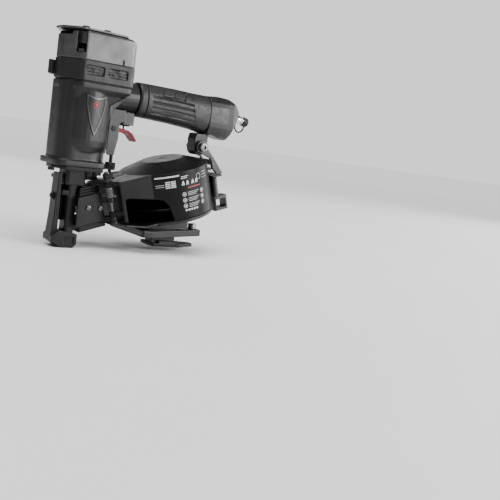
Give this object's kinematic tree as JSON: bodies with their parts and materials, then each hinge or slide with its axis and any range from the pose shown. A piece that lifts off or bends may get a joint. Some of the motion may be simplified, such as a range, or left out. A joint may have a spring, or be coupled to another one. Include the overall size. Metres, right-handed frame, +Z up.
{
  "type": "coil roofing nailer",
  "caption": "Pneumatic coil roofing nailer: round capped head, gripped handle, red trigger, tilted canister magazine with hinged cover, spring contact foot and shingle guide.",
  "frame": {"origin": "centre of the bounding box on the surface that the tool stands on", "axes": "+X back along the handle to the air plug, +Y to the tool's right side, +Z up along the drive line towards the cap"},
  "size_m": [0.2843, 0.1144, 0.2601],
  "materials": {
    "dark_paint": "satin charcoal paint on cast alloy",
    "cap_paint": "satin grey paint on cast alloy",
    "grey_casting": "raw grey die casting, slightly rough",
    "black_steel": "black phosphated steel",
    "black_plastic": "fine grained moulded plastic",
    "black_rubber": "matte moulded rubber",
    "bright_steel": "bright plated steel",
    "plain_steel": "zinc plated and machined steel",
    "red_paint": "smooth crimson coat"
  },
  "bodies": {
    "tool": {"housing": "dark_paint", "head_band": "dark_paint", "end_cap": "dark_paint", "head_cap": "cap_paint", "top_cover": "cap_paint", "side_badge_left": "grey_casting", "side_badge_right": "grey_casting", "trigger_bracket": "grey_casting", "feeder_cylinder": "grey_casting", "bracket_link": "grey_casting", "hinge_spring": "grey_casting", "vent_screen_left": "black_steel", "vent_screen_right": "black_steel", "cap_screw_1": "black_steel", "cap_screw_2": "black_steel", "cap_screw_3": "black_steel", "cap_screw_4": "black_steel", "cover_screw_1": "black_steel", "cover_screw_2": "black_steel", "valve_body": "black_steel", "trigger_pin": "black_steel", "nose": "black_steel", "driver_guide": "black_steel", "nose_screw_1": "black_steel", "nose_screw_2": "black_steel", "nose_screw_3": "black_steel", "feed_guide": "black_steel", "magazine_base": "black_plastic", "guide_rail": "black_plastic", "cap_gasket": "black_rubber", "front_bumper": "black_rubber", "piston_bumper": "black_rubber", "handle_grip": "black_rubber", "dust_cap_strap": "black_rubber", "air_plug": "bright_steel", "cylinder_sleeve": "plain_steel", "head_valve_spring": "plain_steel", "hinge_pin": "plain_steel", "feed_spring": "plain_steel", "bracket_bolt": "plain_steel", "bracket_nut": "plain_steel", "guide_screw": "plain_steel"},
    "driver": {"piston": "plain_steel", "driver_blade": "bright_steel"},
    "head_valve": {"head_valve": "black_plastic"},
    "trigger": {"trigger": "red_paint"},
    "valve_stem": {"valve_stem": "bright_steel"},
    "contact": {"contact_arm": "black_steel", "contact_link": "black_steel"},
    "depth_wheel": {"depth_wheel": "black_steel"},
    "feed_pawl": {"feed_pawl": "plain_steel"},
    "feed_door": {"feed_door": "black_steel", "door_screw_1": "plain_steel", "door_screw_2": "plain_steel"},
    "door_latch": {"door_latch": "black_steel"},
    "magazine_cover": {"magazine_cover": "black_plastic"},
    "nail_tray": {"nail_tray": "black_plastic"},
    "cover_latch": {"cover_latch": "black_steel"},
    "shingle_guide": {"shingle_guide": "black_steel"},
    "dust_cap": {"dust_cap": "black_rubber"}
  },
  "joints": [
    {"name": "driver_stroke", "type": "slide", "parent": "tool", "child": "driver", "axis": [0, 0, -1], "range_m": [0, 0.052]},
    {"name": "head_valve_lift", "type": "slide", "parent": "tool", "child": "head_valve", "axis": [0, 0, 1], "range_m": [0, 0.004], "stiffness_N_per_m": 2000, "springref_m": -0.01, "deforming": ["head_valve_spring"]},
    {"name": "trigger_pull", "type": "hinge", "parent": "tool", "child": "trigger", "pos_m": [-0.0625, 0, 0.1488], "axis": [0, -1, 0], "range_deg": [0, 10], "stiffness_Nm_per_rad": 0.5, "springref_deg": -17.19},
    {"name": "valve_stem_lift", "type": "slide", "parent": "tool", "child": "valve_stem", "axis": [0, 0, 1], "range_m": [0, 0.0036]},
    {"name": "contact_travel", "type": "slide", "parent": "tool", "child": "contact", "axis": [0, 0, 1], "range_m": [0, 0.007], "stiffness_N_per_m": 1500, "springref_m": -0.02},
    {"name": "depth_wheel_turn", "type": "hinge", "parent": "contact", "child": "depth_wheel", "pos_m": [-0.0587, -0.006, 0.103], "axis": [0, 0, 1], "continuous": true},
    {"name": "pawl_stroke", "type": "slide", "parent": "tool", "child": "feed_pawl", "axis": [0.9573, 0, 0.289], "range_m": [0, 0.011], "stiffness_N_per_m": 500, "springref_m": -0.01, "deforming": ["feed_spring"]},
    {"name": "feed_door_swing", "type": "hinge", "parent": "tool", "child": "feed_door", "pos_m": [-0.06329, -0.03, 0.06021], "axis": [-0.289, 0, 0.9573], "range_deg": [0, 75], "stiffness_Nm_per_rad": 0.05, "springref_deg": -34.38},
    {"name": "door_latch_swing", "type": "hinge", "parent": "tool", "child": "door_latch", "pos_m": [-0.06329, -0.03, 0.06021], "axis": [0.289, 0, -0.9573], "range_deg": [0, 40], "stiffness_Nm_per_rad": 0.02, "springref_deg": -34.38},
    {"name": "magazine_cover_swing", "type": "hinge", "parent": "tool", "child": "magazine_cover", "pos_m": [-0.06329, -0.03, 0.06021], "axis": [0.289, 0, -0.9573], "range_deg": [0, 85]},
    {"name": "tray_height", "type": "slide", "parent": "tool", "child": "nail_tray", "axis": [-0.289, 0, 0.9573], "range_m": [0, 0.014]},
    {"name": "cover_latch_swing", "type": "hinge", "parent": "tool", "child": "cover_latch", "pos_m": [0.09747, 0.0018, 0.08995], "axis": [-0.289, 0, 0.9573], "range_deg": [0, 60], "stiffness_Nm_per_rad": 0.05, "springref_deg": -28.65},
    {"name": "shingle_guide_travel", "type": "slide", "parent": "tool", "child": "shingle_guide", "axis": [1, 0, 0], "range_m": [-0.01, 0.01]},
    {"name": "dust_cap_pull", "type": "slide", "parent": "tool", "child": "dust_cap", "axis": [0.9803, 0, -0.1977], "range_m": [0, 0.014], "deforming": ["dust_cap_strap"]}
  ],
  "couplings": [
    {"joint": "valve_stem_lift", "follows": "trigger_pull", "m_per_rad": 0.0198}
  ]
}
